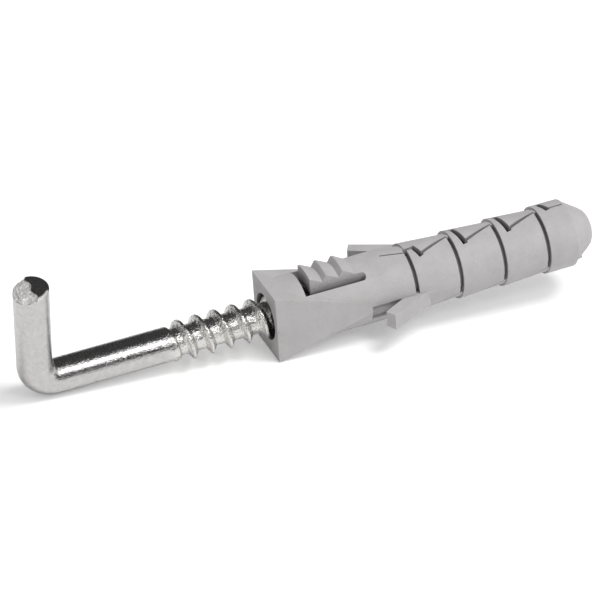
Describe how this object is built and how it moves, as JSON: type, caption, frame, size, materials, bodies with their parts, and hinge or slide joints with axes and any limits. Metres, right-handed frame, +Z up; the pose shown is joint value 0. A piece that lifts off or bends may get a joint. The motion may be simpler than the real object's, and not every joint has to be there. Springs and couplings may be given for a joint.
{
  "type": "hook wall plug",
  "caption": "Grey nylon expansion wall plug with side barbs and a toothed tongue, and an L-shaped steel screw hook part-way into its mouth.",
  "frame": {"origin": "centre of the plug's mouth, on the axis of the plug and the screw", "axes": "+X along the axis into the wall, from the mouth to the plug's tip; +Z up, out of the plug's toothed side; the hook is at -X and its arm points up"},
  "size_m": [0.087, 0.0168, 0.0232],
  "materials": {
    "nylon": "satin moulded nylon",
    "zinc_steel": "bright zinc plate"
  },
  "bodies": {
    "plug": {"plug_body": "nylon"},
    "hook": {"hook_screw": "zinc_steel"}
  },
  "joints": [
    {"name": "hook_turn", "type": "hinge", "parent": "plug", "child": "hook", "pos_m": [0, 0, 0], "axis": [1, 0, 0], "continuous": true}
  ]
}
